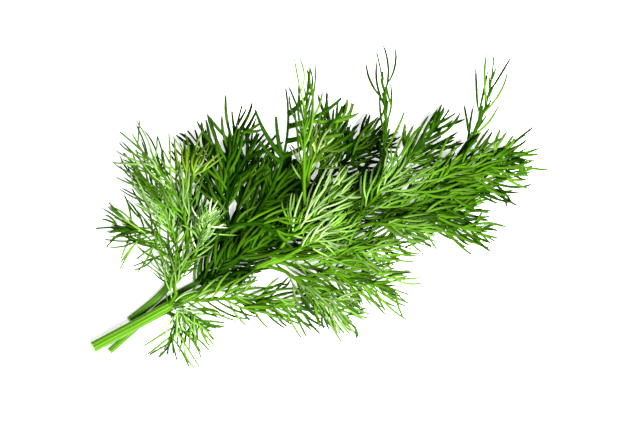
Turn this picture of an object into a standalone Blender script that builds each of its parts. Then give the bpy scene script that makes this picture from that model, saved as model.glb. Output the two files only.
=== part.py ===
"""A bunch of dill: three cut stems and the feathery leaves that grow from them, lying on a surface.

Metres, +Z up. +X runs along the stems towards the leaf tips, +Y is to their left seen from above,
and the origin is below the middle of the bunch, on the surface that it lies on. Every stem and
every leaf is one closed solid; a leaf is its midrib with the side ribs that its threads grow on.
"""

import math
from collections import namedtuple

import bmesh
import bpy
from mathutils import Vector

MM = 0.001
COLLECTION = "dill_bunch"

# Stems: route points (x, y, z) with the radius there, in millimetres, from the cut end to the tip.
Stem = namedtuple("Stem", "name route colour")
# Leaves: where the midrib starts, passes half way and ends (x, y, z), the number of pairs of side
# ribs, the length of the longest rib and the angle in degrees that ribs leave the midrib at.
# Millimetres. A leaf whose ribs follow no rule lists them: share of the midrib, angle and length.
Leaf = namedtuple("Leaf", "name start middle end pairs reach spread shade ribs", defaults=((),))

STEM_RING = 2  # Blender's bevel resolution: 8 sides
STEM_STEPS = 3  # stretches between two route points
WELD = 1e-6

RIB_RING = 0  # 4 sides
MIDRIB_STEPS = 6
MIDRIB_RADII = (0.85, 0.4)
SIDE_RIB_STEPS = 2
SIDE_RIB_RADII = (0.5, 0.3)
SIDE_RIB_CURL = 0.45  # how much of its spread a side rib turns back by its tip
SIDE_RIB_SAG = 0.06  # drop at its tip, as a share of its length
FIRST_PAIR, LAST_PAIR = 0.2, 0.86  # along the midrib
SHORTEST_RIB = 0.5  # the last pair's length, as a share of the first's

PALE_GREEN = (0.20, 0.42, 0.06)
LEAF_GREENS = {
    "dark": (0.03, 0.12, 0.01),
    "middle": (0.08, 0.26, 0.02),
    "bright": (0.16, 0.42, 0.04),
}

STEMS = (
    Stem(
        "main_stem",
        (
            (-98.5, -18.6, 5.4, 2.3),
            (-80, -17.4, 5.4, 2.3),
            (-58, -15.8, 5.5, 2.2),
            (-35, -16.2, 5.8, 1.6),
            (-14, -16.6, 6.2, 1.5),
            (10, -18.8, 7, 1.1),
            (35, -16.5, 7.5, 0.9),
            (56, -12, 8, 0.7),
        ),
        PALE_GREEN,
    ),
    Stem(
        "side_stem",
        (
            (-80.5, -14.7, 1.6, 1.6),
            (-66, -11, 1.8, 1.6),
            (-52, -4.5, 2.6, 1.4),
            (-40, 0, 4, 1.2),
            (-26, 1.5, 4, 1),
            (-8, 3, 4, 0.8),
            (14, 4, 4, 0.5),
        ),
        PALE_GREEN,
    ),
    Stem(
        "thin_stem",
        (
            (-93, -23, 1.3, 1.3),
            (-80, -19, 1.3, 1.3),
            (-62, -13.2, 1.3, 1.2),
            (-40, -11.5, 1.6, 1.1),
            (-15, -9, 2, 0.9),
            (12, -5, 3, 0.7),
            (36, -4, 4, 0.5),
        ),
        PALE_GREEN,
    ),
)

FAN_RIBS = (
    (0.2, 62, 13),
    (0.3, -32, 12),
    (0.33, 62, 16),
    (0.45, 56, 18),
    (0.5, -32, 14),
    (0.57, 46, 17),
    (0.68, 34, 14),
    (0.72, -30, 11),
    (0.8, 24, 10),
)

BETWEEN_RIBS = (
    (0.15, 26, 14),
    (0.25, -12, 9),
    (0.32, 26, 15),
    (0.48, 24, 15),
    (0.5, -12, 9),
    (0.64, 24, 14),
    (0.75, -12, 8),
    (0.8, 20, 11),
)

FORKED_RIBS = (
    (0.4, 76, 14),
    (0.42, 37, 20),
    (0.44, 52, 28),
    (0.45, -60, 28),
    (0.58, -66, 25),
    (0.7, -70, 27),
    (0.8, -66, 16),
)

LEAVES = (
    Leaf("far_left_leaf", (-57, -5.5, 5.2), (-55.5, 12, 12), (-77.4, 24.7, 0), 0, 0, 0, "middle", FAN_RIBS),
    Leaf("tall_left_leaf", (-53, -3.5, 5.4), (-48.2, 18.7, 18.5), (-54, 47.5, 12), 6, 16, 27, "bright"),
    Leaf("inner_left_leaf", (-49.5, -1.8, 5.8), (-41, 22.7, 25), (-51.6, 55.5, 18), 5, 15, 25, "bright"),
    Leaf("golden_fan_leaf", (-38.7, 19.4, 23), (-34.3, 27.3, 25), (-26.4, 38, 21), 5, 14, 30, "bright"),
    Leaf("pale_lace_leaf", (-42, 1.6, 6.6), (-36.6, 6.7, 21), (-30, 13.3, 23), 5, 11, 40, "bright"),
    Leaf("collar_leaf", (-59, -14.5, 9), (-54.2, -4.1, 14), (-49.2, 5.5, 16), 6, 10, 38, "bright"),
    Leaf("node_leaf", (-60.8, -19.7, 5.5), (-66.5, -28, 5), (-75, -33.3, 0), 2, 10, 15, "middle"),
    Leaf("node_side_leaf", (-56, -19.3, 5.5), (-55.3, -26, 5), (-51.5, -32.5, 0), 4, 13, 38, "middle"),
    Leaf("lace_leaf", (-57.5, -16.5, 9), (-60, -20.5, 10), (-61.5, -27, 8), 4, 8, 35, "bright"),
    Leaf("left_shade_leaf", (-44.5, 0.8, 5.4), (-38, 12, 6.5), (-36, 27, 5), 5, 12, 26, "dark"),
    Leaf("between_leaf", (-44, -11.9, 4.6), (-27, -9.6, 6.2), (-8, -4.5, 6.4), 0, 0, 0, "dark", BETWEEN_RIBS),
    Leaf("lower_edge_leaf", (-51, -19.1, 5.6), (-30, -27.8, 10), (-4.7, -47, 0), 8, 16, 27, "middle"),
    Leaf("dark_left_leaf", (-32.4, 2.6, 6.3), (-24.5, 21.7, 9.4), (-27.2, 45.5, 7), 5, 15, 28, "dark"),
    Leaf("dark_tall_leaf", (-28, 3.2, 6), (-18.4, 23.7, 16), (-3, 45.5, 13), 6, 18, 27, "dark"),
    Leaf("dark_slope_leaf", (-24, 3.8, 5.8), (-14.2, 19.4, 6.8), (-1.5, 33, 0), 5, 16, 24, "dark"),
    Leaf("shaded_leaf", (-17.7, 4.6, 3.6), (-5.5, 9.3, 4.4), (6.3, 13.9, 2), 5, 16, 28, "dark"),
    Leaf("forked_leaf", (-12.8, 5.5, 5.8), (5.3, 22.2, 13), (15.7, 44.6, 11), 0, 0, 0, "dark", FORKED_RIBS),
    Leaf("centre_shade_leaf", (-46, -9.2, 2), (-15.6, 0.3, 2), (7.7, 2.1, 1), 8, 18, 24, "dark"),
    Leaf("under_leaf", (-16, -11, 4.4), (11.4, -8.5, 6), (37.4, -6.6, 5), 7, 18, 27, "dark"),
    Leaf("curled_leaf", (-36, 3.2, 6.4), (-17.1, 0.5, 20), (-5, -11.7, 19), 3, 13, 16, "middle"),
    Leaf("upright_leaf", (2, -5, 9.8), (13.3, 20.7, 26), (26.8, 46.7, 18), 6, 11, 17, "bright"),
    Leaf("golden_side_leaf", (8, 5.4, 5.9), (13.4, 13.5, 20.5), (24.2, 22.5, 15), 5, 13, 27, "bright"),
    Leaf("back_middle_leaf", (12, 5.8, 5.4), (23, 18.3, 10), (33.7, 29.4, 6), 5, 14, 26, "dark"),
    Leaf("back_low_leaf", (17.2, 5.4, 4), (30.4, 9.6, 8), (46.1, 12.2, 4), 5, 15, 27, "dark"),
    Leaf("thin_sprig_leaf", (22.3, -14.6, 8), (42.8, 8, 15), (54.8, 43, 12), 8, 9, 15, "bright"),
    Leaf("back_right_leaf", (37.5, -4.4, 4), (54, 1, 9), (73, 10.5, 0), 6, 16, 26, "dark"),
    Leaf("right_sprig_leaf", (57.4, -11.4, 8), (79.5, -0.8, 9), (97, 22.5, 11), 6, 10, 16, "middle"),
    Leaf("right_leaf", (36, -13.8, 8.4), (67, -13.7, 12), (97, -20.2, 8), 9, 18, 26, "middle"),
    Leaf("right_low_leaf", (36, -19, 7), (64.1, -20.3, 9), (91, -24, 4), 8, 17, 26, "middle"),
    Leaf("right_under_leaf", (34.4, -21, 4), (51.3, -23.3, 5), (73.8, -29.4, 2), 7, 14, 24, "middle"),
    Leaf("arching_leaf", (32.5, -19.4, 6), (52.6, -29.6, 6), (68.4, -46, 0), 6, 15, 24, "middle"),
    Leaf("bright_right_leaf", (18, -15.8, 8), (34.1, -8.1, 21.5), (55, 0.1, 16), 7, 16, 24, "bright"),
    Leaf("bright_low_leaf", (25, -18.2, 9.6), (34.2, -23.6, 16), (47, -31.8, 9), 5, 14, 28, "bright"),
    Leaf("front_middle_leaf", (-9, -19.8, 7), (15, -25, 11), (36.3, -31.9, 5), 8, 18, 26, "middle"),
    Leaf("front_leaf", (-12.5, -19.8, 5), (8, -33.9, 8), (27.4, -51.2, 0), 7, 19, 26, "middle"),
    Leaf("front_tip_leaf", (-16, -19.8, 7.4), (-6.8, -35, 13), (2.5, -54.8, 0), 7, 15, 25, "bright"),
    Leaf("bright_centre_leaf", (-14, -14.2, 8.4), (2.1, -6.2, 15), (29.7, 1.8, 12.5), 7, 17, 26, "bright"),
    Leaf("pale_centre_leaf", (-11, -16.8, 9.4), (2.5, -15.1, 14), (19.8, -12.8, 12), 6, 16, 30, "bright"),
)


def clear_scene():
    for obj in list(bpy.data.objects):
        bpy.data.objects.remove(obj, do_unlink=True)


def plant_material(name, colour):
    material = bpy.data.materials.new(name)
    material.use_nodes = True
    shader = material.node_tree.nodes["Principled BSDF"]
    shader.inputs["Base Color"].default_value = (*colour, 1.0)
    shader.inputs["Roughness"].default_value = 0.45
    material.diffuse_color = (*colour, 1.0)
    return material


def mesh_of(curve_object):
    """The curve's tube as a plain mesh with its end caps welded on; the curve is removed."""
    graph = bpy.context.evaluated_depsgraph_get()
    mesh = bpy.data.meshes.new_from_object(curve_object.evaluated_get(graph))
    bpy.data.objects.remove(curve_object, do_unlink=True)
    shape = bmesh.new()
    shape.from_mesh(mesh)
    bmesh.ops.remove_doubles(shape, verts=shape.verts, dist=WELD)
    bmesh.ops.recalc_face_normals(shape, faces=shape.faces)
    shape.to_mesh(mesh)
    shape.free()
    return mesh


def tube_object(name, points, ring, spline_type, collection, steps=1):
    """A capped tube through points (x, y, z, radius), in millimetres, as a mesh object."""
    curve = bpy.data.curves.new(name, "CURVE")
    curve.dimensions = "3D"
    curve.twist_mode = "Z_UP"
    curve.bevel_depth = MM
    curve.bevel_resolution = ring
    curve.resolution_u = steps
    curve.use_fill_caps = True
    spline = curve.splines.new(spline_type)
    knots = spline.bezier_points if spline_type == "BEZIER" else spline.points
    knots.add(len(points) - 1)
    for knot, (x, y, z, radius) in zip(knots, points):
        place = Vector((x, y, z)) * MM
        knot.co = place if spline_type == "BEZIER" else (*place, 1.0)
        knot.radius = radius
        if spline_type == "BEZIER":
            knot.handle_left_type = knot.handle_right_type = "AUTO"
    curve_object = bpy.data.objects.new(name, curve)
    collection.objects.link(curve_object)
    bpy.context.view_layer.update()
    tube = bpy.data.objects.new(name, mesh_of(curve_object))
    collection.objects.link(tube)
    return tube


def blend(pair, share):
    return pair[0] + (pair[1] - pair[0]) * share


def midrib_at(leaf, share):
    """The place (x, y, z) at this share of the curve through the midrib's three points."""
    places = zip(leaf.start, leaf.middle, leaf.end)
    return [
        first * (1 - share) * (1 - 2 * share)
        + second * 4 * share * (1 - share)
        + third * share * (2 * share - 1)
        for first, second, third in places
    ]


def heading_at(leaf, share):
    """The midrib's direction seen from above, in degrees from +X."""
    x, y = (
        first * (4 * share - 3) + second * (4 - 8 * share) + third * (4 * share - 1)
        for first, second, third in zip(leaf.start[:2], leaf.middle[:2], leaf.end[:2])
    )
    return math.degrees(math.atan2(y, x))


def midrib_points(leaf):
    points = []
    for step in range(MIDRIB_STEPS + 1):
        share = step / MIDRIB_STEPS
        radius = blend(MIDRIB_RADII, share)
        x, y, z = midrib_at(leaf, share)
        points.append((x, y, max(z, radius), radius))
    return points


def side_rib_points(leaf, share, angle, length):
    """A rib that leaves the midrib at this share of it and curls back along it."""
    x, y, z = midrib_at(leaf, share)
    heading = heading_at(leaf, share) + angle
    points = [(x, y, max(z, SIDE_RIB_RADII[0]), SIDE_RIB_RADII[0])]
    stride = length / SIDE_RIB_STEPS
    for step in range(1, SIDE_RIB_STEPS + 1):
        part = step / SIDE_RIB_STEPS
        turned = math.radians(heading - SIDE_RIB_CURL * angle * (part - 0.5 / SIDE_RIB_STEPS))
        x += stride * math.cos(turned)
        y += stride * math.sin(turned)
        radius = blend(SIDE_RIB_RADII, part)
        height = z - SIDE_RIB_SAG * length * part
        points.append((x, y, max(height, radius), radius))
    return points


def side_ribs(leaf):
    """Each side rib's share of the midrib, angle and length; the sides alternate by half a step."""
    if leaf.ribs:
        return leaf.ribs
    count = 2 * leaf.pairs
    ribs = []
    for rib in range(count):
        along = rib / (count - 1)
        side = 1 if rib % 2 == 0 else -1
        length = leaf.reach * blend((1, SHORTEST_RIB), along)
        ribs.append((blend((FIRST_PAIR, LAST_PAIR), along), side * leaf.spread, length))
    return ribs


def join(base, pieces):
    """Unites the pieces with the base mesh object, so that the leaf is one body."""
    helpers = bpy.data.collections.new("ribs")
    for piece in pieces:
        for home in piece.users_collection:
            home.objects.unlink(piece)
        helpers.objects.link(piece)
    bpy.context.scene.collection.children.link(helpers)
    union = base.modifiers.new("union", "BOOLEAN")
    union.operation = "UNION"
    union.operand_type = "COLLECTION"
    union.collection = helpers
    bpy.context.view_layer.update()
    graph = bpy.context.evaluated_depsgraph_get()
    mesh = bpy.data.meshes.new_from_object(base.evaluated_get(graph))
    base.modifiers.remove(union)
    base.data = mesh
    for piece in pieces:
        bpy.data.objects.remove(piece, do_unlink=True)
    bpy.data.collections.remove(helpers)


def finish(obj, colour):
    obj.data.materials.clear()
    obj.data.materials.append(plant_material(obj.name, colour))
    obj.data.shade_smooth()


def build_stem(stem, collection):
    tube = tube_object(stem.name, stem.route, STEM_RING, "BEZIER", collection, STEM_STEPS)
    finish(tube, stem.colour)


def build_leaf(leaf, collection):
    body = tube_object(leaf.name, midrib_points(leaf), RIB_RING, "POLY", collection)
    ribs = []
    for share, angle, length in side_ribs(leaf):
        points = side_rib_points(leaf, share, angle, length)
        ribs.append(tube_object("rib", points, RIB_RING, "POLY", collection))
    join(body, ribs)
    finish(body, LEAF_GREENS[leaf.shade])


def main():
    clear_scene()
    collection = bpy.data.collections.new(COLLECTION)
    bpy.context.scene.collection.children.link(collection)
    for stem in STEMS:
        build_stem(stem, collection)
    for leaf in LEAVES:
        build_leaf(leaf, collection)


main()
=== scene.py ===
"""Dresses a bunch of dill: thread-fine leaves, ribbed stems, plant finishes and a plain studio.

The bunch lies on a floor. Metres, +Z up, +X along the stems towards the leaf tips. Every stem and
every leaf here stands for the frame's node of the same name.
"""

import math
import random
from collections import namedtuple

import bpy
from bpy.props import (
    FloatProperty,
    FloatVectorProperty,
    IntProperty,
    PointerProperty,
)
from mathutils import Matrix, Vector


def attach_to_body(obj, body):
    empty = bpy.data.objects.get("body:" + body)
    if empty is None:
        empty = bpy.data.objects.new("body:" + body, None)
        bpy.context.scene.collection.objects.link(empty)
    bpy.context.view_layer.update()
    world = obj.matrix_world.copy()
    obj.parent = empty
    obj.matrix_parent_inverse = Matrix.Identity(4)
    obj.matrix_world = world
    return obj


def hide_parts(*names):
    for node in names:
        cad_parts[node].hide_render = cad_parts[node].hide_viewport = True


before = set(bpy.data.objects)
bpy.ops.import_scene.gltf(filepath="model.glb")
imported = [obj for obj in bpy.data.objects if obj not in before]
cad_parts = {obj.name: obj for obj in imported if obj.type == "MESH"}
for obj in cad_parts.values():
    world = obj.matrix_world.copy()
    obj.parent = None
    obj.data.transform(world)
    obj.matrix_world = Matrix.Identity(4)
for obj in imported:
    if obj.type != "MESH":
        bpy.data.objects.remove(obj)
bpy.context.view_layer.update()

bl_info = {
    "name": "Dill Bunch",
    "version": (1, 0, 0),
    "blender": (4, 5, 0),
    "location": "View3D > Sidebar > Dill",
    "description": "Grows a bunch of dill on a pale studio floor",
    "category": "Add Mesh",
}

MM = 0.001

# Stems: route points (x, y, z) with the radius there, in millimetres, as in the frame.
Stem = namedtuple("Stem", "name route")
# Leaves: as in the frame, in millimetres and degrees: where the midrib starts, passes and ends,
# pairs of side ribs, the longest rib, and the angle that ribs leave at. finish names its look, and
# ribs lists the side ribs of a leaf that has them in places of their own.
Leaf = namedtuple("Leaf", "name start middle end pairs reach spread finish ribs", defaults=((),))

MIDRIB_RADII = (0.85, 0.36)
SIDE_RIB_RADII = (0.48, 0.22)
SIDE_RIB_CURL = 0.45
SIDE_RIB_SAG = 0.06
FIRST_PAIR, LAST_PAIR = 0.2, 0.86
SHORTEST_RIB = 0.5
# The stretch of a side rib that bears threads starts at this share of it, and that of a midrib ends
# at this share of it.
BARE_RIB = 0.05
LAST_ON_MIDRIB = 0.8
MIDRIB_STEPS = 14
SIDE_RIB_STEPS = 7
# Threads make a rib look longer, and no two ribs are alike. These are the ranges of a side rib's
# angle and length, as shares of the frame's, and of how far it rises, as a share of its length.
RIB_ANGLE = (0.8, 1.15)
RIB_LENGTH = (0.75, 0.95)
RIB_RISE = (-0.12, 0.28)

STEMS = (
    Stem(
        "main_stem",
        (
            (-98.5, -18.6, 5.4, 2.3),
            (-80, -17.4, 5.4, 2.3),
            (-58, -15.8, 5.5, 2.2),
            (-35, -16.2, 5.8, 1.6),
            (-14, -16.6, 6.2, 1.5),
            (10, -18.8, 7, 1.1),
            (35, -16.5, 7.5, 0.9),
            (56, -12, 8, 0.7),
        ),
    ),
    Stem(
        "side_stem",
        (
            (-80.5, -14.7, 1.6, 1.6),
            (-66, -11, 1.8, 1.6),
            (-52, -4.5, 2.6, 1.4),
            (-40, 0, 4, 1.2),
            (-26, 1.5, 4, 1),
            (-8, 3, 4, 0.8),
            (14, 4, 4, 0.5),
        ),
    ),
    Stem(
        "thin_stem",
        (
            (-93, -23, 1.3, 1.3),
            (-80, -19, 1.3, 1.3),
            (-62, -13.2, 1.3, 1.2),
            (-40, -11.5, 1.6, 1.1),
            (-15, -9, 2, 0.9),
            (12, -5, 3, 0.7),
            (36, -4, 4, 0.5),
        ),
    ),
)

# Side ribs in places of their own: the share of the midrib where each one leaves it, its angle and
# its length.
FAN_RIBS = (
    (0.2, 62, 13),
    (0.3, -32, 12),
    (0.33, 62, 16),
    (0.45, 56, 18),
    (0.5, -32, 14),
    (0.57, 46, 17),
    (0.68, 34, 14),
    (0.72, -30, 11),
    (0.8, 24, 10),
)

BETWEEN_RIBS = (
    (0.15, 26, 14),
    (0.25, -12, 9),
    (0.32, 26, 15),
    (0.48, 24, 15),
    (0.5, -12, 9),
    (0.64, 24, 14),
    (0.75, -12, 8),
    (0.8, 20, 11),
)

FORKED_RIBS = (
    (0.4, 76, 14),
    (0.42, 37, 20),
    (0.44, 52, 28),
    (0.45, -60, 28),
    (0.58, -66, 25),
    (0.7, -70, 27),
    (0.8, -66, 16),
)

LEAVES = (
    Leaf(
        "far_left_leaf", (-57, -5.5, 5.2), (-55.5, 12, 12), (-77.4, 24.7, 0), 0, 0, 0, "comb", FAN_RIBS
    ),
    Leaf("tall_left_leaf", (-53, -3.5, 5.4), (-48.2, 18.7, 18.5), (-54, 47.5, 12), 6, 16, 27, "tall"),
    Leaf("inner_left_leaf", (-49.5, -1.8, 5.8), (-41, 22.7, 25), (-51.6, 55.5, 18), 5, 15, 25, "tall"),
    Leaf("golden_fan_leaf", (-38.7, 19.4, 23), (-34.3, 27.3, 25), (-26.4, 38, 21), 5, 14, 30, "golden"),
    Leaf("pale_lace_leaf", (-42, 1.6, 6.6), (-36.6, 6.7, 21), (-30, 13.3, 23), 5, 11, 40, "pale"),
    Leaf("collar_leaf", (-59, -14.5, 9), (-54.2, -4.1, 14), (-49.2, 5.5, 16), 6, 10, 38, "collar"),
    Leaf("node_leaf", (-60.8, -19.7, 5.5), (-66.5, -28, 5), (-75, -33.3, 0), 2, 10, 15, "comb"),
    Leaf("node_side_leaf", (-56, -19.3, 5.5), (-55.3, -26, 5), (-51.5, -32.5, 0), 4, 13, 38, "comb"),
    Leaf("lace_leaf", (-57.5, -16.5, 9), (-60, -20.5, 10), (-61.5, -27, 8), 4, 8, 35, "pale"),
    Leaf("left_shade_leaf", (-44.5, 0.8, 5.4), (-38, 12, 6.5), (-36, 27, 5), 5, 12, 26, "dark"),
    Leaf(
        "between_leaf",
        (-44, -11.9, 4.6),
        (-27, -9.6, 6.2),
        (-8, -4.5, 6.4),
        0,
        0,
        0,
        "under",
        BETWEEN_RIBS,
    ),
    Leaf("lower_edge_leaf", (-51, -19.1, 5.6), (-30, -27.8, 10), (-4.7, -47, 0), 8, 16, 27, "front"),
    Leaf("dark_left_leaf", (-32.4, 2.6, 6.3), (-24.5, 21.7, 9.4), (-27.2, 45.5, 7), 5, 15, 28, "spike"),
    Leaf("dark_tall_leaf", (-28, 3.2, 6), (-18.4, 23.7, 16), (-3, 45.5, 13), 6, 18, 27, "spike"),
    Leaf("dark_slope_leaf", (-24, 3.8, 5.8), (-14.2, 19.4, 6.8), (-1.5, 33, 0), 5, 16, 24, "spike"),
    Leaf("shaded_leaf", (-17.7, 4.6, 3.6), (-5.5, 9.3, 4.4), (6.3, 13.9, 2), 5, 16, 28, "under"),
    Leaf(
        "forked_leaf",
        (-12.8, 5.5, 5.8),
        (5.3, 22.2, 13),
        (15.7, 44.6, 11),
        0,
        0,
        0,
        "coarse",
        FORKED_RIBS,
    ),
    Leaf("centre_shade_leaf", (-46, -9.2, 2), (-15.6, 0.3, 2), (7.7, 2.1, 1), 8, 18, 24, "under"),
    Leaf("under_leaf", (-16, -11, 4.4), (11.4, -8.5, 6), (37.4, -6.6, 5), 7, 18, 27, "under"),
    Leaf("curled_leaf", (-36, 3.2, 6.4), (-17.1, 0.5, 20), (-5, -11.7, 19), 3, 13, 16, "sparse"),
    Leaf("upright_leaf", (2, -5, 9.8), (13.3, 20.7, 26), (26.8, 46.7, 18), 6, 11, 17, "slim"),
    Leaf("golden_side_leaf", (8, 5.4, 5.9), (13.4, 13.5, 20.5), (24.2, 22.5, 15), 5, 13, 27, "golden"),
    Leaf("back_middle_leaf", (12, 5.8, 5.4), (23, 18.3, 10), (33.7, 29.4, 6), 5, 14, 26, "blade"),
    Leaf("back_low_leaf", (17.2, 5.4, 4), (30.4, 9.6, 8), (46.1, 12.2, 4), 5, 15, 27, "dark"),
    Leaf("thin_sprig_leaf", (22.3, -14.6, 8), (42.8, 8, 15), (54.8, 43, 12), 8, 9, 15, "thin"),
    Leaf("back_right_leaf", (37.5, -4.4, 4), (54, 1, 9), (73, 10.5, 0), 6, 16, 26, "blade"),
    Leaf("right_sprig_leaf", (57.4, -11.4, 8), (79.5, -0.8, 9), (97, 22.5, 11), 6, 10, 16, "sprig"),
    Leaf("right_leaf", (36, -13.8, 8.4), (67, -13.7, 12), (97, -20.2, 8), 9, 18, 26, "middle"),
    Leaf("right_low_leaf", (36, -19, 7), (64.1, -20.3, 9), (91, -24, 4), 8, 17, 26, "middle"),
    Leaf("right_under_leaf", (34.4, -21, 4), (51.3, -23.3, 5), (73.8, -29.4, 2), 7, 14, 24, "middle"),
    Leaf("arching_leaf", (32.5, -19.4, 6), (52.6, -29.6, 6), (68.4, -46, 0), 6, 15, 24, "middle"),
    Leaf("bright_right_leaf", (18, -15.8, 8), (34.1, -8.1, 21.5), (55, 0.1, 16), 7, 16, 24, "fresh"),
    Leaf("bright_low_leaf", (25, -18.2, 9.6), (34.2, -23.6, 16), (47, -31.8, 9), 5, 14, 28, "fresh"),
    Leaf("front_middle_leaf", (-9, -19.8, 7), (15, -25, 11), (36.3, -31.9, 5), 8, 18, 26, "front"),
    Leaf("front_leaf", (-12.5, -19.8, 5), (8, -33.9, 8), (27.4, -51.2, 0), 7, 19, 26, "front"),
    Leaf("front_tip_leaf", (-16, -19.8, 7.4), (-6.8, -35, 13), (2.5, -54.8, 0), 7, 15, 25, "fresh"),
    Leaf("bright_centre_leaf", (-14, -14.2, 8.4), (2.1, -6.2, 15), (29.7, 1.8, 12.5), 7, 17, 26, "bright"),
    Leaf("pale_centre_leaf", (-11, -16.8, 9.4), (2.5, -15.1, 14), (19.8, -12.8, 12), 6, 16, 30, "bright"),
)

# A thread may fork: each row is one kind of thread, and each fork its share of the thread, the
# angle off it and its length as a share of the thread's.
THREAD_KINDS = (
    ((0.24, 15, 0.74),),
    ((0.36, -14, 0.62),),
    (),
    (),
)
# A thread bows sideways and upwards: how far its middle control point lies off the straight line, as
# shares of its length. A fork also rises off its thread, by this share of its angle.
THREAD_BOW = (0.13, 0.05)
FORK_RISE = 0.3
# A thread's radius at these shares of its length, as a share of its thickest.
THREAD_SWELL = ((0, 0.6), (0.4, 1.0), (0.85, 0.8), (1, 0.28))
THREAD_SIDES = 5
# No two threads are alike either. These are the ranges of a thread's angle and length and of the length
# below which it doesn't grow, as shares of the usual, and of how far it rises, as a share of its length.
# The brightest threads rise this much further than the darkest, so that the bright tones, partly painted
# light, lie on top and the dark tones, partly painted shade, lie below.
THREAD_ANGLE = (0.8, 1.2)
THREAD_LENGTH = (0.8, 1.1)
THREAD_LIMIT = (1.0, 1.8)
THREAD_RISE = (-0.33, -0.07)
BRIGHT_RISE = 0.5
# Threads wave: how many waves there are per metre, and how far they shift a tip, in metres. The
# waves change with a thread's tone, so that neighbours don't wave alike.
WAVE_SCALE = 30.0
WAVE_SIZE = 0.01
WAVE_CHANGE = 0.8

# How each kind of leaf looks.
# slot, colour: its material slot and its colour.
# width, gap, angle: how wide its threads are and how far apart, as shares of the usual, and the angle
# in degrees at which they leave a rib.
# rib, pale_rib: how wide its side ribs are, as a share of the frame's, and how far their colour goes
# from the threads' towards the stems'.
# bare, clad: the share of its midrib, from the base, that bears no threads, and the share of each side
# rib that bears them.
# gloss: how waxy it is, and how pale its brightest threads are painted, as a painted highlight.
Finish = namedtuple("Finish", "slot colour width gap angle rib pale_rib bare clad gloss")
FINISHES = {
    "dark": Finish("dark_leaf", "dark", 1.3, 1.0, 22, 1.1, 0.0, 0.0, 0.62, 0.02),
    "under": Finish("dark_leaf", "dark", 1.35, 0.55, 24, 1.2, 0.0, 0.0, 0.8, 0.02),
    "spike": Finish("dark_leaf", "dark", 1.4, 1.3, 21, 1.5, 0.0, 0.1, 0.55, 0.02),
    "blade": Finish("dark_leaf", "middle", 1.3, 1.5, 20, 1.6, 0.0, 0.2, 0.5, 0.02),
    "coarse": Finish("dark_leaf", "middle", 1.8, 4.0, 18, 2.5, 0.0, 0.75, 0.5, 0.05),
    "middle": Finish("middle_leaf", "middle", 1.2, 1.25, 20, 1.1, 0.2, 0.0, 0.62, 0.06),
    "front": Finish("middle_leaf", "fresh", 1.05, 1.1, 22, 1.0, 0.3, 0.0, 0.62, 0.14),
    "sparse": Finish("middle_leaf", "middle", 1.15, 1.8, 14, 1.4, 0.0, 0.3, 0.62, 0.05),
    "comb": Finish("middle_leaf", "fresh", 0.9, 0.9, 42, 1.1, 0.1, 0.05, 0.3, 0.1),
    "sprig": Finish("middle_leaf", "middle", 1.1, 2.4, 12, 1.5, 0.1, 0.3, 0.3, 0.05),
    "fresh": Finish("bright_leaf", "fresh", 1.0, 1.0, 21, 1.0, 0.4, 0.1, 0.62, 0.22),
    "thin": Finish("bright_leaf", "middle", 1.05, 3.0, 10, 1.5, 0.1, 0.3, 0.0, 0.05),
    "slim": Finish("bright_leaf", "fresh", 0.9, 1.5, 10, 1.3, 0.4, 0.3, 0.4, 0.15),
    "tall": Finish("bright_leaf", "fresh", 0.8, 0.95, 20, 1.1, 0.35, 0.25, 0.62, 0.3),
    "bright": Finish("bright_leaf", "bright", 0.9, 1.0, 21, 1.0, 0.45, 0.25, 0.62, 0.4),
    "collar": Finish("bright_leaf", "fresh", 0.7, 0.8, 28, 1.0, 0.4, 0.0, 0.62, 0.25),
    "golden": Finish("bright_leaf", "golden", 0.9, 0.9, 22, 1.0, 0.4, 0.3, 0.62, 0.4),
    "pale": Finish("bright_leaf", "pale", 0.7, 0.85, 24, 1.0, 0.4, 0.0, 0.62, 0.6),
}


def linear(hex_colour):
    """An sRGB hex colour as linear red, green and blue."""
    channels = [int(hex_colour[i : i + 2], 16) / 255 for i in (1, 3, 5)]
    return [c / 12.92 if c <= 0.04045 else ((c + 0.055) / 1.055) ** 2.4 for c in channels]


def colour_property(name, description, hex_colour):
    return FloatVectorProperty(
        name=name,
        description=description,
        subtype="COLOR",
        size=3,
        min=0,
        max=1,
        default=linear(hex_colour),
    )


class DILL_PG_leaves(bpy.types.PropertyGroup):
    """Sizes of the leaf threads."""

    thread_length: FloatProperty(
        name="Thread length",
        description="Length of a thread as a share of the rib that is left beyond it",
        default=0.85,
        min=0,
        max=1,
        subtype="FACTOR",
    )
    longest_thread: FloatProperty(
        name="Longest thread",
        description="No thread is longer than this",
        default=0.0205,
        subtype="DISTANCE",
        unit="LENGTH",
    )
    shortest_thread: FloatProperty(
        name="Shortest thread",
        description="Where a thread would be shorter than this, none grows",
        default=0.007,
        subtype="DISTANCE",
        unit="LENGTH",
    )
    tip_length: FloatProperty(
        name="Tip length",
        description="Length of the threads at the very tip of a rib",
        default=0.0058,
        subtype="DISTANCE",
        unit="LENGTH",
    )
    thread_radius: FloatProperty(
        name="Thread radius",
        description="Radius of a thread at its thickest",
        default=0.0005,
        subtype="DISTANCE",
        unit="LENGTH",
    )
    thread_gap: FloatProperty(
        name="Thread gap",
        description="Distance along a rib from one thread to the next",
        default=0.0019,
        subtype="DISTANCE",
        unit="LENGTH",
    )
    droop: FloatProperty(
        name="Droop",
        description="How far a thread's tip sinks under its own weight",
        default=0.0012,
        subtype="DISTANCE",
        unit="LENGTH",
    )
    seed: IntProperty(name="Seed", description="Start of the random variation", default=11)


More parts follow.
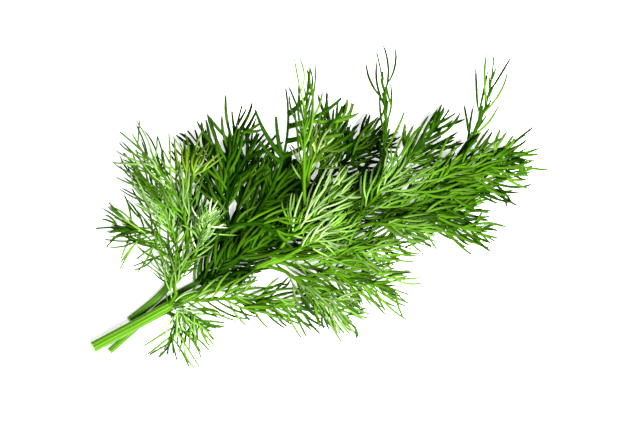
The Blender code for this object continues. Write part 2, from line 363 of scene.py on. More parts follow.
class DILL_PG_colours(bpy.types.PropertyGroup):
    """Greens of the stems and leaves, before light falls on them, except that the deep stem green and the
    dark and bright leaf greens hold painted shade and painted light.
    """

    stem: colour_property("Stem", "Pale green of the cut stems", "#4b760c")
    stem_groove: colour_property("Stem groove", "Darker green between the ridges", "#315607")
    # Painted shade: the stems turn this deep green where leaves lie over them.
    stem_painted_shade: colour_property("Deep stem", "Stems where the leaves cover them", "#264b06")
    cut_end: colour_property("Cut end", "Moist pith where a stem was cut", "#6f9433")
    # The back and under leaves' green, deepened with painted shade where other leaves cover them.
    dark: colour_property("Dark leaf", "Older leaves at the back", "#163802")
    middle: colour_property("Leaf", "Most leaves", "#285203")
    fresh: colour_property("Fresh leaf", "Leaves between the usual and the bright green", "#346105")
    # The top leaves' green, brightened with painted light where the light falls on them.
    bright: colour_property("Bright leaf", "Young leaves on top", "#467510")
    golden: colour_property("Golden leaf", "Yellow-green fans", "#496d05")
    pale: colour_property("Pale leaf", "Underside of a leaf that lies turned over", "#6a9d3c")


class DILL_PG_stage(bpy.types.PropertyGroup):
    """Camera and light."""

    camera_height: FloatProperty(
        name="Camera height",
        description="Height of the camera above the floor",
        default=0.9,
        subtype="DISTANCE",
        unit="LENGTH",
    )
    view_width: FloatProperty(
        name="View width",
        description="Width of the floor that the camera sees",
        default=0.2505,
        subtype="DISTANCE",
        unit="LENGTH",
    )
    roll: FloatProperty(
        name="Roll",
        description="Angle that the bunch points up to the right in the picture",
        default=math.radians(24),
        subtype="ANGLE",
        unit="ROTATION",
    )
    light_power: FloatProperty(
        name="Light power",
        description="Power of the large soft lamp",
        default=80,
        subtype="POWER",
        unit="POWER",
    )
    sky_strength: FloatProperty(
        name="Sky strength",
        description="Brightness of the white surroundings",
        default=0.45,
    )


class DILL_PG_bunch(bpy.types.PropertyGroup):
    """All settings of the bunch."""

    leaves: PointerProperty(type=DILL_PG_leaves)
    colours: PointerProperty(type=DILL_PG_colours)
    stage: PointerProperty(type=DILL_PG_stage)


# --- Routes of ribs and stems -------------------------------------------------------------------


def blend(pair, share):
    return pair[0] + (pair[1] - pair[0]) * share


def midrib_at(leaf, share):
    """The place (x, y, z) at this share of the curve through the midrib's three points."""
    places = zip(leaf.start, leaf.middle, leaf.end)
    return [
        first * (1 - share) * (1 - 2 * share)
        + second * 4 * share * (1 - share)
        + third * share * (2 * share - 1)
        for first, second, third in places
    ]


def heading_at(leaf, share):
    """The midrib's direction seen from above, in degrees."""
    x, y = (
        first * (4 * share - 3) + second * (4 - 8 * share) + third * (4 * share - 1)
        for first, second, third in zip(leaf.start[:2], leaf.middle[:2], leaf.end[:2])
    )
    return math.degrees(math.atan2(y, x))


def midrib_points(leaf):
    points = []
    for step in range(MIDRIB_STEPS + 1):
        share = step / MIDRIB_STEPS
        radius = blend(MIDRIB_RADII, share)
        x, y, z = midrib_at(leaf, share)
        points.append((x, y, max(z, radius), radius))
    return points


def side_rib_points(leaf, share, angle, length, rise, width):
    """A rib that leaves the midrib at this share of it and curls back along it."""
    x, y, z = midrib_at(leaf, share)
    heading = heading_at(leaf, share) + angle
    points = [(x, y, z, SIDE_RIB_RADII[0] * width)]
    stride = length / SIDE_RIB_STEPS
    for step in range(1, SIDE_RIB_STEPS + 1):
        part = step / SIDE_RIB_STEPS
        turned = math.radians(heading - SIDE_RIB_CURL * angle * (part - 0.5 / SIDE_RIB_STEPS))
        x += stride * math.cos(turned)
        y += stride * math.sin(turned)
        radius = blend(SIDE_RIB_RADII, part) * width
        height = z + (rise - SIDE_RIB_SAG * part) * length * part
        points.append((x, y, max(height, radius), radius))
    return points


def side_ribs(leaf):
    """Each side rib's share of the midrib, angle and length; the sides alternate by half a step."""
    if leaf.ribs:
        return leaf.ribs
    count = 2 * leaf.pairs
    ribs = []
    for rib in range(count):
        along = rib / (count - 1)
        side = 1 if rib % 2 == 0 else -1
        length = leaf.reach * blend((1, SHORTEST_RIB), along)
        ribs.append((blend((FIRST_PAIR, LAST_PAIR), along), side * leaf.spread, length))
    return ribs


# How far back along the stem a leaf's stalk leaves its centre, in millimetres.
ROOT_BACK = 5
# A leaf that starts further than this from every stem, in millimetres, grows from another leaf.
STEM_REACH = 9


def nearest_root(routes, base):
    """The point inside the nearest route that a leaf grows from, and how far that route is."""
    best = None
    for route in routes:
        for start, end in zip(route, route[1:]):
            a, b = Vector(start[:3]), Vector(end[:3])
            share = max(0, min(1, (base - a).dot(b - a) / (b - a).length_squared))
            point = a + (b - a) * share
            distance = (point - base).length
            if best is None or distance < best[1]:
                best = point - (b - a).normalized() * ROOT_BACK, distance
    return best


def root_of(leaf):
    """Where the leaf's stalk leaves its stem, or the midrib of the leaf that it branches from."""
    base = Vector(leaf.start)
    root, distance = nearest_root([stem.route for stem in STEMS], base)
    if distance > STEM_REACH:
        midribs = [midrib_points(other) for other in LEAVES if other is not leaf]
        root, distance = nearest_root(midribs, base)
    return root


def skeleton(leaf, seed, settings):
    """A mesh of edges along the leaf's ribs, with each point's radius and length of threads."""
    rng = random.Random(seed)
    finish = FINISHES[leaf.finish]
    # The stalk runs on into its stem, in place of the midrib's first point.
    midrib = [(*root_of(leaf), MIDRIB_RADII[0])] + midrib_points(leaf)[1:]
    whole = (Vector(leaf.end) - Vector(leaf.start)).length
    runs = [(midrib, whole, finish.bare, LAST_ON_MIDRIB)]
    for share, angle, length in side_ribs(leaf):
        angle *= rng.uniform(*RIB_ANGLE)
        length *= rng.uniform(*RIB_LENGTH)
        rise = rng.uniform(*RIB_RISE)
        points = side_rib_points(leaf, share, angle, length, rise, finish.rib)
        runs.append((points, length, BARE_RIB, finish.clad))
    vertices, edges, radii, lengths = [], [], [], []
    for points, length, bare, last in runs:
        first = len(vertices)
        vertices += [Vector(point[:3]) * MM for point in points]
        edges += [(first + i, first + i + 1) for i in range(len(points) - 1)]
        radii += [point[3] * MM for point in points]
        for step in range(len(points)):
            share = step / (len(points) - 1)
            left = (1 - share) * length * MM * settings.thread_length + settings.tip_length
            left = min(left, settings.longest_thread)
            lengths.append(left if bare <= share <= last else 0)
    mesh = bpy.data.meshes.new(leaf.name)
    mesh.from_pydata(vertices, edges, [])
    for name, values in (("rib_radius", radii), ("thread_length", lengths)):
        mesh.attributes.new(name, "FLOAT", "POINT").data.foreach_set("value", values)
    return mesh


# --- Geometry Nodes -----------------------------------------------------------------------------


def add(tree, kind, inputs=(), **settings):
    """Adds a node, sets its properties, and sets or links its inputs (name or index to value)."""
    made = tree.nodes.new(kind)
    for name, value in settings.items():
        setattr(made, name, value)
    for key, value in dict(inputs).items():
        socket = made.inputs[key]
        if isinstance(value, bpy.types.NodeSocket):
            tree.links.new(value, socket)
        else:
            socket.default_value = value
    return made


def new_tree(name, sockets):
    """An empty geometry tree with these (name, kind) inputs, and its group input node."""
    tree = bpy.data.node_groups.new(name, "GeometryNodeTree")
    tree.interface.new_socket("Geometry", in_out="OUTPUT", socket_type="NodeSocketGeometry")
    for socket_name, kind in (("Geometry", "NodeSocketGeometry"), *sockets):
        tree.interface.new_socket(socket_name, in_out="INPUT", socket_type=kind)
    return tree, tree.nodes.new("NodeGroupInput").outputs


def thread_kinds(tree):
    """Threads a unit long, one instance per kind, each with its forks, as curves."""
    thread = add(
        tree,
        "GeometryNodeCurveQuadraticBezier",
        {"Resolution": 8, "Start": (0, 0, 0), "Middle": (0.5, *THREAD_BOW), "End": (1, 0, 0)},
    ).outputs[0]
    kinds = add(tree, "GeometryNodeGeometryToInstance")
    # A multiple input puts its newest link first, so the kinds go in from the last to the first.
    for forks in reversed(THREAD_KINDS):
        joined = add(tree, "GeometryNodeJoinGeometry", {0: thread})
        for share, angle, size in forks:
            on_bow = [2 * share * (1 - share) * bow for bow in THREAD_BOW]
            fork = add(
                tree,
                "GeometryNodeTransform",
                {
                    "Geometry": thread,
                    "Translation": (share, *on_bow),
                    "Rotation": (0, math.radians(-FORK_RISE * abs(angle)), math.radians(angle)),
                    "Scale": (size, size * math.copysign(1, angle), size),
                },
            )
            tree.links.new(fork.outputs[0], joined.inputs[0])
        tree.links.new(joined.outputs[0], kinds.inputs[0])
    return kinds.outputs[0]


def frond_tree():
    """Grows threads along a leaf's ribs and skins ribs and threads as tapered tubes."""
    tree, given = new_tree(
        "Dill frond",
        (
            ("Thread Radius", "NodeSocketFloat"),
            ("Thread Gap", "NodeSocketFloat"),
            ("Shortest Thread", "NodeSocketFloat"),
            ("Thread Angle", "NodeSocketFloat"),
            ("Droop", "NodeSocketFloat"),
            ("Seed", "NodeSocketInt"),
            ("Material", "NodeSocketMaterial"),
        ),
    )
    ribs = add(tree, "GeometryNodeMeshToCurve", {"Mesh": given["Geometry"]}).outputs[0]
    ribs = add(
        tree, "GeometryNodeCurveSplineType", {"Curve": ribs}, spline_type="CATMULL_ROM"
    ).outputs[0]
    rib_radius = add(tree, "GeometryNodeInputNamedAttribute", {"Name": "rib_radius"}).outputs[0]
    reach = add(tree, "GeometryNodeInputNamedAttribute", {"Name": "thread_length"}).outputs[0]

    spots = add(
        tree, "GeometryNodeCurveToPoints", {"Curve": ribs, "Length": given["Thread Gap"]}, mode="LENGTH"
    ).outputs
    # Each random draw has its own offset to the seed.
    tone_seed = add(tree, "ShaderNodeMath", {0: given["Seed"], 1: 5.0}).outputs[0]
    tone = add(tree, "FunctionNodeRandomValue", {"Seed": tone_seed}).outputs[1]
    # The tone is stored here, so that all of a thread has the same one.
    points = add(
        tree,
        "GeometryNodeStoreNamedAttribute",
        {"Geometry": spots["Points"], "Name": "tone", "Value": tone},
        data_type="FLOAT",
        domain="POINT",
    ).outputs[0]
    tone = add(tree, "GeometryNodeInputNamedAttribute", {"Name": "tone"}).outputs[0]
    index = add(tree, "GeometryNodeInputIndex").outputs[0]
    parity = add(tree, "ShaderNodeMath", {0: index, 1: 2.0}, operation="MODULO").outputs[0]
    side = add(
        tree, "ShaderNodeMath", {0: parity, 1: 2.0, 2: -1.0}, operation="MULTIPLY_ADD"
    ).outputs[0]

    def chance(limits, offset):
        low, high = limits
        shifted = add(tree, "ShaderNodeMath", {0: given["Seed"], 1: float(offset)}).outputs[0]
        return add(tree, "FunctionNodeRandomValue", {2: low, 3: high, "Seed": shifted}).outputs[1]

    def times(first, second):
        return add(tree, "ShaderNodeMath", {0: first, 1: second}, operation="MULTIPLY").outputs[0]

    angle = times(times(given["Thread Angle"], chance(THREAD_ANGLE, 1)), side)
    swung = add(
        tree,
        "ShaderNodeVectorRotate",
        {"Vector": spots["Tangent"], "Angle": angle},
        rotation_type="Z_AXIS",
    ).outputs[0]
    rise = add(
        tree,
        "ShaderNodeMath",
        {0: tone, 1: BRIGHT_RISE, 2: chance(THREAD_RISE, 2)},
        operation="MULTIPLY_ADD",
    ).outputs[0]
    lift = add(tree, "ShaderNodeCombineXYZ", {"Z": rise}).outputs[0]
    direction = add(tree, "ShaderNodeVectorMath", {0: swung, 1: lift}).outputs[0]
    turn = add(
        tree, "FunctionNodeAlignRotationToVector", {"Vector": direction}, axis="X"
    ).outputs[0]
    length = times(reach, chance(THREAD_LENGTH, 3))
    mirrored = times(length, side)
    scale = add(tree, "ShaderNodeCombineXYZ", {"X": length, "Y": mirrored, "Z": length}).outputs[0]
    # Towards the tips, where threads would be short, fewer and fewer of them grow.
    least = times(given["Shortest Thread"], chance(THREAD_LIMIT, 6))
    grows = add(
        tree, "FunctionNodeCompare", {0: reach, 1: least}, operation="GREATER_THAN"
    ).outputs[0]
    kind_seed = add(tree, "ShaderNodeMath", {0: given["Seed"], 1: 4.0}).outputs[0]
    kind = add(
        tree,
        "FunctionNodeRandomValue",
        {4: 0, 5: len(THREAD_KINDS) - 1, "Seed": kind_seed},
        data_type="INT",
    ).outputs[2]
    sprigs = add(
        tree,
        "GeometryNodeInstanceOnPoints",
        {
            "Points": points,
            "Selection": grows,
            "Instance": thread_kinds(tree),
            "Pick Instance": True,
            "Instance Index": kind,
            "Rotation": turn,
            "Scale": scale,
        },
    ).outputs[0]
    threads = add(tree, "GeometryNodeRealizeInstances", {"Geometry": sprigs}).outputs[0]

    along = add(tree, "GeometryNodeSplineParameter").outputs["Factor"]
    threads = add(
        tree,
        "GeometryNodeStoreNamedAttribute",
        {"Geometry": threads, "Name": "along", "Value": along},
        data_type="FLOAT",
        domain="POINT",
    ).outputs[0]

    place = add(tree, "GeometryNodeInputPosition").outputs[0]
    waves = add(
        tree,
        "ShaderNodeTexNoise",
        {"Vector": place, "W": times(tone, WAVE_CHANGE), "Scale": WAVE_SCALE, "Detail": 0.0},
        noise_dimensions="4D",
    ).outputs["Color"]
    centred = add(tree, "ShaderNodeVectorMath", {0: waves, 1: (-0.5, -0.5, -0.5)}).outputs[0]
    waved = add(
        tree,
        "ShaderNodeVectorMath",
        {0: centred, "Scale": times(times(along, along), WAVE_SIZE)},
        operation="SCALE",
    ).outputs[0]
    sink = times(times(along, along), times(given["Droop"], -1.0))
    sunk = add(tree, "ShaderNodeCombineXYZ", {"Z": sink}).outputs[0]
    offset = add(tree, "ShaderNodeVectorMath", {0: waved, 1: sunk}).outputs[0]
    threads = add(
        tree, "GeometryNodeSetPosition", {"Geometry": threads, "Offset": offset}
    ).outputs[0]
    swell = add(tree, "ShaderNodeFloatCurve", {"Value": along})
    base, *between, tip = THREAD_SWELL
    curve = swell.mapping.curves[0].points
    curve[0].location = base
    curve[1].location = tip
    for share, width in between:
        curve.new(share, width)
    swell.mapping.update()
    thread_radius = times(given["Thread Radius"], swell.outputs[0])
    threads = add(
        tree, "GeometryNodeSetCurveRadius", {"Curve": threads, "Radius": thread_radius}
    ).outputs[0]

    rib_curves = add(
        tree, "GeometryNodeSetCurveRadius", {"Curve": ribs, "Radius": rib_radius}
    ).outputs[0]
    rib_curves = add(
        tree,
        "GeometryNodeStoreNamedAttribute",
        {"Geometry": rib_curves, "Name": "rib", "Value": 1.0},
        data_type="FLOAT",
        domain="POINT",
    ).outputs[0]
    joined = add(tree, "GeometryNodeJoinGeometry")
    tree.links.new(rib_curves, joined.inputs[0])
    tree.links.new(threads, joined.inputs[0])
    grown = on_floor(tree, joined.outputs[0])
    ring = add(tree, "GeometryNodeCurvePrimitiveCircle", {"Resolution": THREAD_SIDES, "Radius": 1.0})
    radius = add(tree, "GeometryNodeInputRadius").outputs[0]
    skin = add(
        tree,
        "GeometryNodeCurveToMesh",
        {"Curve": grown, "Profile Curve": ring.outputs[0], "Scale": radius, "Fill Caps": True},
    ).outputs[0]
    finish_tree(tree, skin, given["Material"])
    return tree


# Between two of its points, a tube dips a little lower than there, so it rests a tenth higher.
REST_HEIGHT = 1.1


def on_floor(tree, curves):
    """Lifts every point that would sink into the floor to where its tube rests on it."""
    place = add(tree, "GeometryNodeInputPosition").outputs[0]
    radius = add(tree, "GeometryNodeInputRadius").outputs[0]
    parts = add(tree, "ShaderNodeSeparateXYZ", {0: place}).outputs
    least = add(tree, "ShaderNodeMath", {0: radius, 1: REST_HEIGHT}, operation="MULTIPLY").outputs[0]
    height = add(tree, "ShaderNodeMath", {0: parts["Z"], 1: least}, operation="MAXIMUM").outputs[0]
    raised = add(
        tree, "ShaderNodeCombineXYZ", {"X": parts["X"], "Y": parts["Y"], "Z": height}
    ).outputs[0]
    return add(
        tree, "GeometryNodeSetPosition", {"Geometry": curves, "Position": raised}
    ).outputs[0]


def finish_tree(tree, mesh, material):
    """Ends a tree: smooth shading, realised instances, the material and the output."""
    smooth = add(tree, "GeometryNodeSetShadeSmooth", {"Geometry": mesh}).outputs[0]
    realised = add(tree, "GeometryNodeRealizeInstances", {"Geometry": smooth}).outputs[0]
    painted = add(
        tree, "GeometryNodeSetMaterial", {"Geometry": realised, "Material": material}
    ).outputs[0]
    add(tree, "NodeGroupOutput", {"Geometry": painted})


def grow(name, mesh, tree, values):
    """Runs the tree on the mesh with these named inputs and returns the result as a plain mesh."""
    source = bpy.data.objects.new(name + "_source", mesh)
    bpy.context.scene.collection.objects.link(source)
    modifier = source.modifiers.new("grow", "NODES")
    modifier.node_group = tree
    for item in tree.interface.items_tree:
        if item.in_out == "INPUT" and item.name in values:
            modifier[item.identifier] = values[item.name]
    bpy.context.view_layer.update()
    graph = bpy.context.evaluated_depsgraph_get()
    grown = bpy.data.meshes.new_from_object(source.evaluated_get(graph))
    bpy.data.objects.remove(source, do_unlink=True)
    grown.name = name
    piece = bpy.data.objects.new(name, grown)
    bpy.context.scene.collection.objects.link(piece)
    return piece


# --- Materials ----------------------------------------------------------------------------------


def plant_material(name):
    """A material with an empty Principled shader, and its tree."""
    material = bpy.data.materials.new(name)
    material.use_nodes = True
    return material, material.node_tree, material.node_tree.nodes["Principled BSDF"]


# What a thread's tone gives it, from the darkest thread to the brightest: its value, and its hue, which
# turns from green towards yellow. The tone differs at random from thread to thread, but its wide range of
# value is partly painted light and shade: painted shade on the darkest threads and painted light on the
# brightest.
TONE_VALUES = (0.34, 1.5)
TONE_HUES = (0.505, 0.475)
# How bright a thread is at its base and at its tip.
BASE_TO_TIP = (1.18, 0.42)
# Per unit of gloss: a leaf's specular level, and how far its brightest threads lose their colour, as a
# painted highlight.
WAXINESS = 0.12
PALENESS = 1.0


def leaf_material(name, finish, colours):
    """Fresh dill thread: thin, moist plant tissue, faintly waxy, darker and duller at the tip, with
    painted light and shade and a painted highlight in the tones of its threads.
    """
    material, tree, shader = plant_material("fresh_dill_" + name)
    tone = add(tree, "ShaderNodeAttribute", attribute_name="tone").outputs["Fac"]
    along = add(tree, "ShaderNodeAttribute", attribute_name="along").outputs["Fac"]
    rib = add(tree, "ShaderNodeAttribute", attribute_name="rib").outputs["Fac"]
    darkest, brightest = TONE_VALUES
    # Painted light and shade: the tone's value runs from dark to bright, standing in for shaded and lit
    # threads as well as their own differences.
    value = add(
        tree,
        "ShaderNodeMapRange",
        {"Value": tone, "From Min": 0.15, "From Max": 0.85, "To Min": darkest, "To Max": brightest},
        interpolation_type="SMOOTHSTEP",
    ).outputs[0]
    green, yellow = TONE_HUES
    hue = add(
        tree, "ShaderNodeMapRange", {"Value": tone, "To Min": green, "To Max": yellow}
    ).outputs[0]
    base, end = BASE_TO_TIP
    tip = add(
        tree,
        "ShaderNodeMapRange",
        {"Value": along, "From Min": 0.2, "From Max": 1.0, "To Min": base, "To Max": end},
    ).outputs[0]
    light = add(tree, "ShaderNodeMath", {0: value, 1: tip}, operation="MULTIPLY").outputs[0]
    # Painted highlight: the brightest threads are paled by the leaf's gloss.
    saturation = add(
        tree,
        "ShaderNodeMapRange",
        {"Value": tone, "From Min": 0.5, "To Min": 1.0, "To Max": 1.0 - PALENESS * finish.gloss},
    ).outputs[0]
    colour = (*getattr(colours, finish.colour), 1.0)
    thread = add(
        tree,
        "ShaderNodeHueSaturation",
        {"Color": colour, "Hue": hue, "Saturation": saturation, "Value": light},
    ).outputs[0]
    paler = add(tree, "ShaderNodeMath", {0: rib, 1: finish.pale_rib}, operation="MULTIPLY").outputs[0]
    painted = add(
        tree, "ShaderNodeMix", {0: paler, 6: thread, 7: (*colours.stem, 1.0)}, data_type="RGBA"
    ).outputs[2]
    tree.links.new(painted, shader.inputs["Base Color"])
    shader.inputs["Roughness"].default_value = 0.35
    shader.inputs["Specular IOR Level"].default_value = WAXINESS * finish.gloss
    shader.inputs["Subsurface Weight"].default_value = 0.05
    shader.inputs["Subsurface Radius"].default_value = (0.4, 1.0, 0.15)
    shader.inputs["Subsurface Scale"].default_value = 0.001
    return material


def stem_material(colours):
    """Cut dill stem: smooth, moist and finely ridged, with a paler pith at the cut, and painted shade
    where leaves lie over it.
    """
    material, tree, shader = plant_material("fresh_dill_stem")
    around = add(tree, "ShaderNodeAttribute", attribute_name="around").outputs["Fac"]
    cut = add(tree, "ShaderNodeAttribute", attribute_name="cut").outputs["Fac"]
    turns = 2 * math.pi * STEM_RIDGES
    stripes = add(tree, "ShaderNodeMath", {0: around, 1: turns}, operation="MULTIPLY").outputs[0]
    wave = add(tree, "ShaderNodeMath", {0: stripes}, operation="COSINE").outputs[0]
    groove = add(
        tree, "ShaderNodeMapRange", {"Value": wave, "From Min": -1.0, "From Max": 1.0}
    ).outputs[0]
    coat = add(
        tree,
        "ShaderNodeMix",
        {0: groove, 6: (*colours.stem_groove, 1.0), 7: (*colours.stem, 1.0)},
        data_type="RGBA",
    ).outputs[2]
    # Painted shade: each stem is mixed towards deep green where leaves lie over it.
    shade = add(tree, "ShaderNodeAttribute", attribute_name="shade").outputs["Fac"]
    coat = add(
        tree, "ShaderNodeMix", {0: shade, 6: coat, 7: (*colours.stem_painted_shade, 1.0)}, data_type="RGBA"
    ).outputs[2]
    painted = add(
        tree, "ShaderNodeMix", {0: cut, 6: coat, 7: (*colours.cut_end, 1.0)}, data_type="RGBA"
    ).outputs[2]
    tree.links.new(painted, shader.inputs["Base Color"])
    shader.inputs["Roughness"].default_value = 0.36
    shader.inputs["Specular IOR Level"].default_value = 0.06
    shader.inputs["Subsurface Weight"].default_value = 0.08
    shader.inputs["Subsurface Radius"].default_value = (0.6, 1.0, 0.25)
    shader.inputs["Subsurface Scale"].default_value = 0.0015
    return material


# --- Stems --------------------------------------------------------------------------------------

STEM_RIDGES = 9
# The radius in the valleys between the ridges, as a share of the radius on the ridges.
VALLEY = 0.88
STEM_SIDES = 54
STEM_STEP = 0.0025
# How dark each stem is at the points of its route, from 0 for pale green to 1 for deep green. The deep
# green is painted shade where leaves lie over the stems; the stems are palest where leaves branch off.
STEM_SHADES = {
    "main_stem": (0.15, 0.25, 0.0, 0.8, 0.0, 0.35, 0.4, 0.5),
    "side_stem": (0.5, 0.6, 0.5, 0.7, 0.8, 0.8, 0.8),
    "thin_stem": (0.3, 0.5, 0.7, 0.9, 0.9, 0.9, 0.9),
}
# The cut ends slant: the top of a stem ends this much further along it, per height, than its
# underside, and the slant fades out over this length.
CUT_SLANT = 0.35
CUT_LENGTH = 0.009


def stem_mesh(stem):
    """Edges along the stem's route, with the radius and the painted shade of green at each point."""
    mesh = bpy.data.meshes.new(stem.name)
    places = [Vector(point[:3]) * MM for point in stem.route]
    mesh.from_pydata(places, [(i, i + 1) for i in range(len(places) - 1)], [])
    radii = [point[3] * MM for point in stem.route]
    for name, values in (("stem_radius", radii), ("shade", STEM_SHADES[stem.name])):
        mesh.attributes.new(name, "FLOAT", "POINT").data.foreach_set("value", values)
    return mesh


def stem_tree():
    """Skins a route as a tube with fine ridges along it and slanting cut ends."""
    tree, given = new_tree(
        "Dill stem", (("Valley", "NodeSocketFloat"), ("Material", "NodeSocketMaterial"))
    )
    ring = add(
        tree, "GeometryNodeCurvePrimitiveCircle", {"Resolution": STEM_SIDES, "Radius": 1.0}
    ).outputs[0]
    around = add(tree, "GeometryNodeSplineParameter").outputs["Factor"]
    ring = add(
        tree,
        "GeometryNodeStoreNamedAttribute",
        {"Geometry": ring, "Name": "around", "Value": around},
        data_type="FLOAT",
        domain="POINT",
    ).outputs[0]
    turns = 2 * math.pi * STEM_RIDGES
    ridges = add(tree, "ShaderNodeMath", {0: around, 1: turns}, operation="MULTIPLY").outputs[0]
    wave = add(tree, "ShaderNodeMath", {0: ridges}, operation="COSINE").outputs[0]
    swell = add(
        tree,
        "ShaderNodeMapRange",
        {"Value": wave, "From Min": 1.0, "From Max": -1.0, "To Min": 1.0, "To Max": given["Valley"]},
    ).outputs[0]
    place = add(tree, "GeometryNodeInputPosition").outputs[0]
    ridged = add(tree, "ShaderNodeVectorMath", {0: place, "Scale": swell}, operation="SCALE").outputs[0]
    ring = add(tree, "GeometryNodeSetPosition", {"Geometry": ring, "Position": ridged}).outputs[0]
    route = add(tree, "GeometryNodeMeshToCurve", {"Mesh": given["Geometry"]}).outputs[0]
    route = add(
        tree, "GeometryNodeCurveSplineType", {"Curve": route}, spline_type="CATMULL_ROM"
    ).outputs[0]
    radius = add(tree, "GeometryNodeInputNamedAttribute", {"Name": "stem_radius"}).outputs[0]
    route = add(
        tree, "GeometryNodeResampleCurve", {"Curve": route, "Length": STEM_STEP}, mode="LENGTH"
    ).outputs[0]
    height = add(tree, "ShaderNodeSeparateXYZ", {0: place}).outputs["Z"]
    under = add(tree, "ShaderNodeMath", {0: height, 1: radius}, operation="SUBTRACT").outputs[0]
    from_cut = add(tree, "GeometryNodeSplineParameter").outputs["Length"]
    for name, value in (("under", under), ("from_cut", from_cut)):
        route = add(
            tree,
            "GeometryNodeStoreNamedAttribute",
            {"Geometry": route, "Name": name, "Value": value},
            data_type="FLOAT",
            domain="POINT",
        ).outputs[0]
    skin = add(
        tree,
        "GeometryNodeCurveToMesh",
        {"Curve": route, "Profile Curve": ring, "Scale": radius, "Fill Caps": True},
    ).outputs[0]
    skin = slant_cut(tree, skin)
    # Only the two end faces have more than four corners.
    corners = add(tree, "GeometryNodeInputMeshFaceNeighbors").outputs["Vertex Count"]
    is_cut = add(
        tree, "FunctionNodeCompare", {2: corners, 3: 4}, data_type="INT", operation="GREATER_THAN"
    ).outputs[0]
    skin = add(
        tree,
        "GeometryNodeStoreNamedAttribute",
        {"Geometry": skin, "Name": "cut", "Value": is_cut},
        data_type="FLOAT",
        domain="FACE",
    ).outputs[0]
    finish_tree(tree, skin, given["Material"])
    return tree


def slant_cut(tree, skin):
    """Cuts the start of a stem at a slant, by moving its upper side along the stem."""
    under = add(tree, "GeometryNodeInputNamedAttribute", {"Name": "under"}).outputs[0]
    from_cut = add(tree, "GeometryNodeInputNamedAttribute", {"Name": "from_cut"}).outputs[0]
    place = add(tree, "GeometryNodeInputPosition").outputs[0]
    height = add(tree, "ShaderNodeSeparateXYZ", {0: place}).outputs["Z"]
    above = add(tree, "ShaderNodeMath", {0: height, 1: under}, operation="SUBTRACT").outputs[0]
    fade = add(
        tree,
        "ShaderNodeMapRange",
        {"Value": from_cut, "From Max": CUT_LENGTH, "To Min": CUT_SLANT, "To Max": 0.0},
    ).outputs[0]
    shift = add(tree, "ShaderNodeMath", {0: above, 1: fade}, operation="MULTIPLY").outputs[0]
    offset = add(tree, "ShaderNodeCombineXYZ", {"X": shift}).outputs[0]
    return add(tree, "GeometryNodeSetPosition", {"Geometry": skin, "Offset": offset}).outputs[0]


# --- Operators ----------------------------------------------------------------------------------


def attach(piece, node):
    """The finished piece stands for the frame's node and moves with the bunch."""
    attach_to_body(piece, "root")
    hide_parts(node)


class DILL_OT_grow_stems(bpy.types.Operator):
    """Grow the three cut stems"""

    bl_idname = "dill.grow_stems"
    bl_label = "Grow Stems"

    def execute(self, context):
        material = stem_material(context.scene.dill.colours)
        tree = stem_tree()
        for stem in STEMS:
            values = {"Valley": VALLEY, "Material": material}
            piece = grow(stem.name + "_dressed", stem_mesh(stem), tree, values)
            attach(piece, stem.name)
        return {"FINISHED"}


# The seeds of two leaves lie this far apart, further than the offsets of the draws within one.
SEED_STEP = 10


def grow_leaves(context, slot):
    """Grows every leaf whose finish belongs to this material slot."""
    settings = context.scene.dill.leaves
    colours = context.scene.dill.colours
    tree = bpy.data.node_groups.get("Dill frond") or frond_tree()
    materials = {
        name: leaf_material(name, finish, colours)
        for name, finish in FINISHES.items()
        if finish.slot == slot
    }
    for number, leaf in enumerate(LEAVES):
        if leaf.finish not in materials:
            continue
        finish = FINISHES[leaf.finish]
        seed = settings.seed + SEED_STEP * number
        values = {
            "Thread Radius": settings.thread_radius * finish.width,
            "Thread Gap": settings.thread_gap * finish.gap,
            "Shortest Thread": settings.shortest_thread,
            "Thread Angle": math.radians(finish.angle),
            "Droop": settings.droop,
            "Seed": seed,
            "Material": materials[leaf.finish],
        }
        piece = grow(leaf.name + "_dressed", skeleton(leaf, seed, settings), tree, values)
        attach(piece, leaf.name)


class DILL_OT_grow_back_leaves(bpy.types.Operator):
    """Grow the dark leaves at the back and underneath"""

    bl_idname = "dill.grow_back_leaves"
    bl_label = "Grow Back Leaves"

    def execute(self, context):
        grow_leaves(context, "dark_leaf")
        return {"FINISHED"}


class DILL_OT_grow_leaves(bpy.types.Operator):
    """Grow the leaves of the usual green"""

    bl_idname = "dill.grow_leaves"
    bl_label = "Grow Leaves"

    def execute(self, context):
        grow_leaves(context, "middle_leaf")
        return {"FINISHED"}


class DILL_OT_grow_top_leaves(bpy.types.Operator):
    """Grow the bright, golden and pale leaves on top"""

    bl_idname = "dill.grow_top_leaves"
    bl_label = "Grow Top Leaves"

    def execute(self, context):
        grow_leaves(context, "bright_leaf")
        return {"FINISHED"}


class DILL_OT_set_stage(bpy.types.Operator):
    """Set up the floor, the soft light and the camera"""

    bl_idname = "dill.set_stage"
    bl_label = "Set Stage"

    def execute(self, context):
        settings = context.scene.dill.stage
        make_floor()
        make_light(context, settings)
        make_camera(context, settings)
        return {"FINISHED"}


FLOOR_SIZE = 3.0
# The floor glows a little, as on a dimmed light table, which keeps the shadows on it faint.
FLOOR_GLOW = 0.52
LAMP_PLACE = (0.27, -0.56, 0.98)
LAMP_SIZE = 0.65
# Where the camera looks, in millimetres from the origin.
VIEW_CENTRE = (3.5, -5.7)
SENSOR_WIDTH = 36.0


def make_floor():
    """Matt white paper: it scatters light evenly, with hardly any shine."""
    bpy.ops.mesh.primitive_plane_add(size=FLOOR_SIZE)
    floor = bpy.context.object
    floor.name = "studio_floor"
    material = bpy.data.materials.new("matt_white_paper")
    material.use_nodes = True
    shader = material.node_tree.nodes["Principled BSDF"]
    shader.inputs["Base Color"].default_value = (0.9, 0.9, 0.9, 1.0)
    shader.inputs["Roughness"].default_value = 0.9
    shader.inputs["Specular IOR Level"].default_value = 0.1
    shader.inputs["Emission Color"].default_value = (1.0, 1.0, 1.0, 1.0)
    shader.inputs["Emission Strength"].default_value = FLOOR_GLOW
    floor.data.materials.append(material)


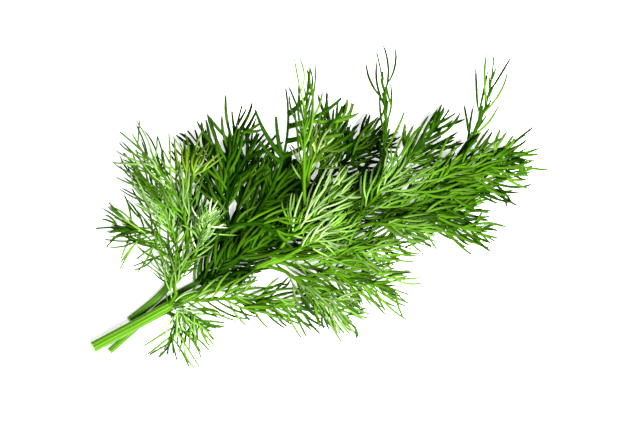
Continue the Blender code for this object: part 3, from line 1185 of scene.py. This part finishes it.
def make_light(context, settings):
    """A white sky, and one large lamp above the bunch, on the right side of the stems."""
    world = bpy.data.worlds.new("studio")
    world.use_nodes = True
    background = world.node_tree.nodes["Background"]
    background.inputs["Color"].default_value = (1, 1, 1, 1)
    background.inputs["Strength"].default_value = settings.sky_strength
    context.scene.world = world
    lamp = bpy.data.lights.new("soft_lamp", "AREA")
    lamp.energy = settings.light_power
    lamp.size = LAMP_SIZE
    lamp_object = bpy.data.objects.new("soft_lamp", lamp)
    lamp_object.location = LAMP_PLACE
    lamp_object.rotation_euler = (-lamp_object.location).to_track_quat("-Z", "Y").to_euler()
    context.scene.collection.objects.link(lamp_object)


def make_camera(context, settings):
    """Looks straight down, turned so that the bunch points up to the right."""
    camera = bpy.data.cameras.new("camera")
    camera.sensor_width = SENSOR_WIDTH
    camera.lens = SENSOR_WIDTH * settings.camera_height / settings.view_width
    camera_object = bpy.data.objects.new("camera", camera)
    x, y = VIEW_CENTRE
    camera_object.location = (x * MM, y * MM, settings.camera_height)
    camera_object.rotation_euler = (0, 0, -settings.roll)
    context.scene.collection.objects.link(camera_object)
    context.scene.camera = camera_object
    context.scene.view_settings.view_transform = "Standard"


class DILL_PT_bunch(bpy.types.Panel):
    """Buttons that grow the bunch piece by piece"""

    bl_idname = "DILL_PT_bunch"
    bl_label = "Dill Bunch"
    bl_space_type = "VIEW_3D"
    bl_region_type = "UI"
    bl_category = "Dill"

    def draw(self, context):
        settings = context.scene.dill
        for group in (settings.leaves, settings.colours, settings.stage):
            box = self.layout.box()
            for name in group.__annotations__:
                box.prop(group, name)
        for operator in OPERATORS:
            self.layout.operator(operator.bl_idname)


OPERATORS = (
    DILL_OT_grow_stems,
    DILL_OT_grow_back_leaves,
    DILL_OT_grow_leaves,
    DILL_OT_grow_top_leaves,
    DILL_OT_set_stage,
)
CLASSES = (DILL_PG_leaves, DILL_PG_colours, DILL_PG_stage, DILL_PG_bunch, *OPERATORS, DILL_PT_bunch)


def register():
    for cls in CLASSES:
        bpy.utils.register_class(cls)
    bpy.types.Scene.dill = PointerProperty(type=DILL_PG_bunch)


def unregister():
    del bpy.types.Scene.dill
    for cls in reversed(CLASSES):
        bpy.utils.unregister_class(cls)


def main():
    register()
    bpy.ops.dill.grow_stems()
    bpy.ops.dill.grow_back_leaves()
    bpy.ops.dill.grow_leaves()
    bpy.ops.dill.grow_top_leaves()
    bpy.ops.dill.set_stage()


if __name__ == "__main__":
    main()
